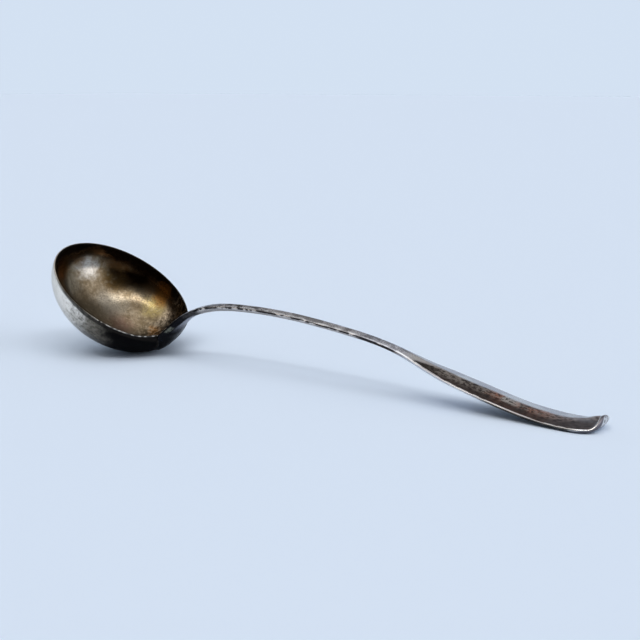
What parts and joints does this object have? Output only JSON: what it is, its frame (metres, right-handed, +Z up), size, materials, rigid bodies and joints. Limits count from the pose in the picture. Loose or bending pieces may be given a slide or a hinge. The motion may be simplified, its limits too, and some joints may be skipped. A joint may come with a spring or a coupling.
{
  "type": "soup ladle",
  "caption": "Silver serving ladle with a deep oval bowl and a long arched handle with a turned-up rounded end, resting on a table.",
  "frame": {"origin": "middle of the bounding box at the table, in the plane of symmetry", "axes": "+X from the bowl to the end of the handle, +Z up from the table the ladle lies on, XZ is the plane of symmetry"},
  "size_m": [0.3774, 0.09, 0.0655],
  "materials": {
    "bowl_silver": "worn silver, tarnished outside, with the rubbed remains of a gilt lining inside",
    "handle_silver": "worn silver with brown and grey tarnish",
    "silver_solder": "dull tarnished silver solder"
  },
  "bodies": {
    "root": {"bowl": "bowl_silver", "handle": "handle_silver", "solder_seam": "silver_solder"}
  },
  "joints": []
}
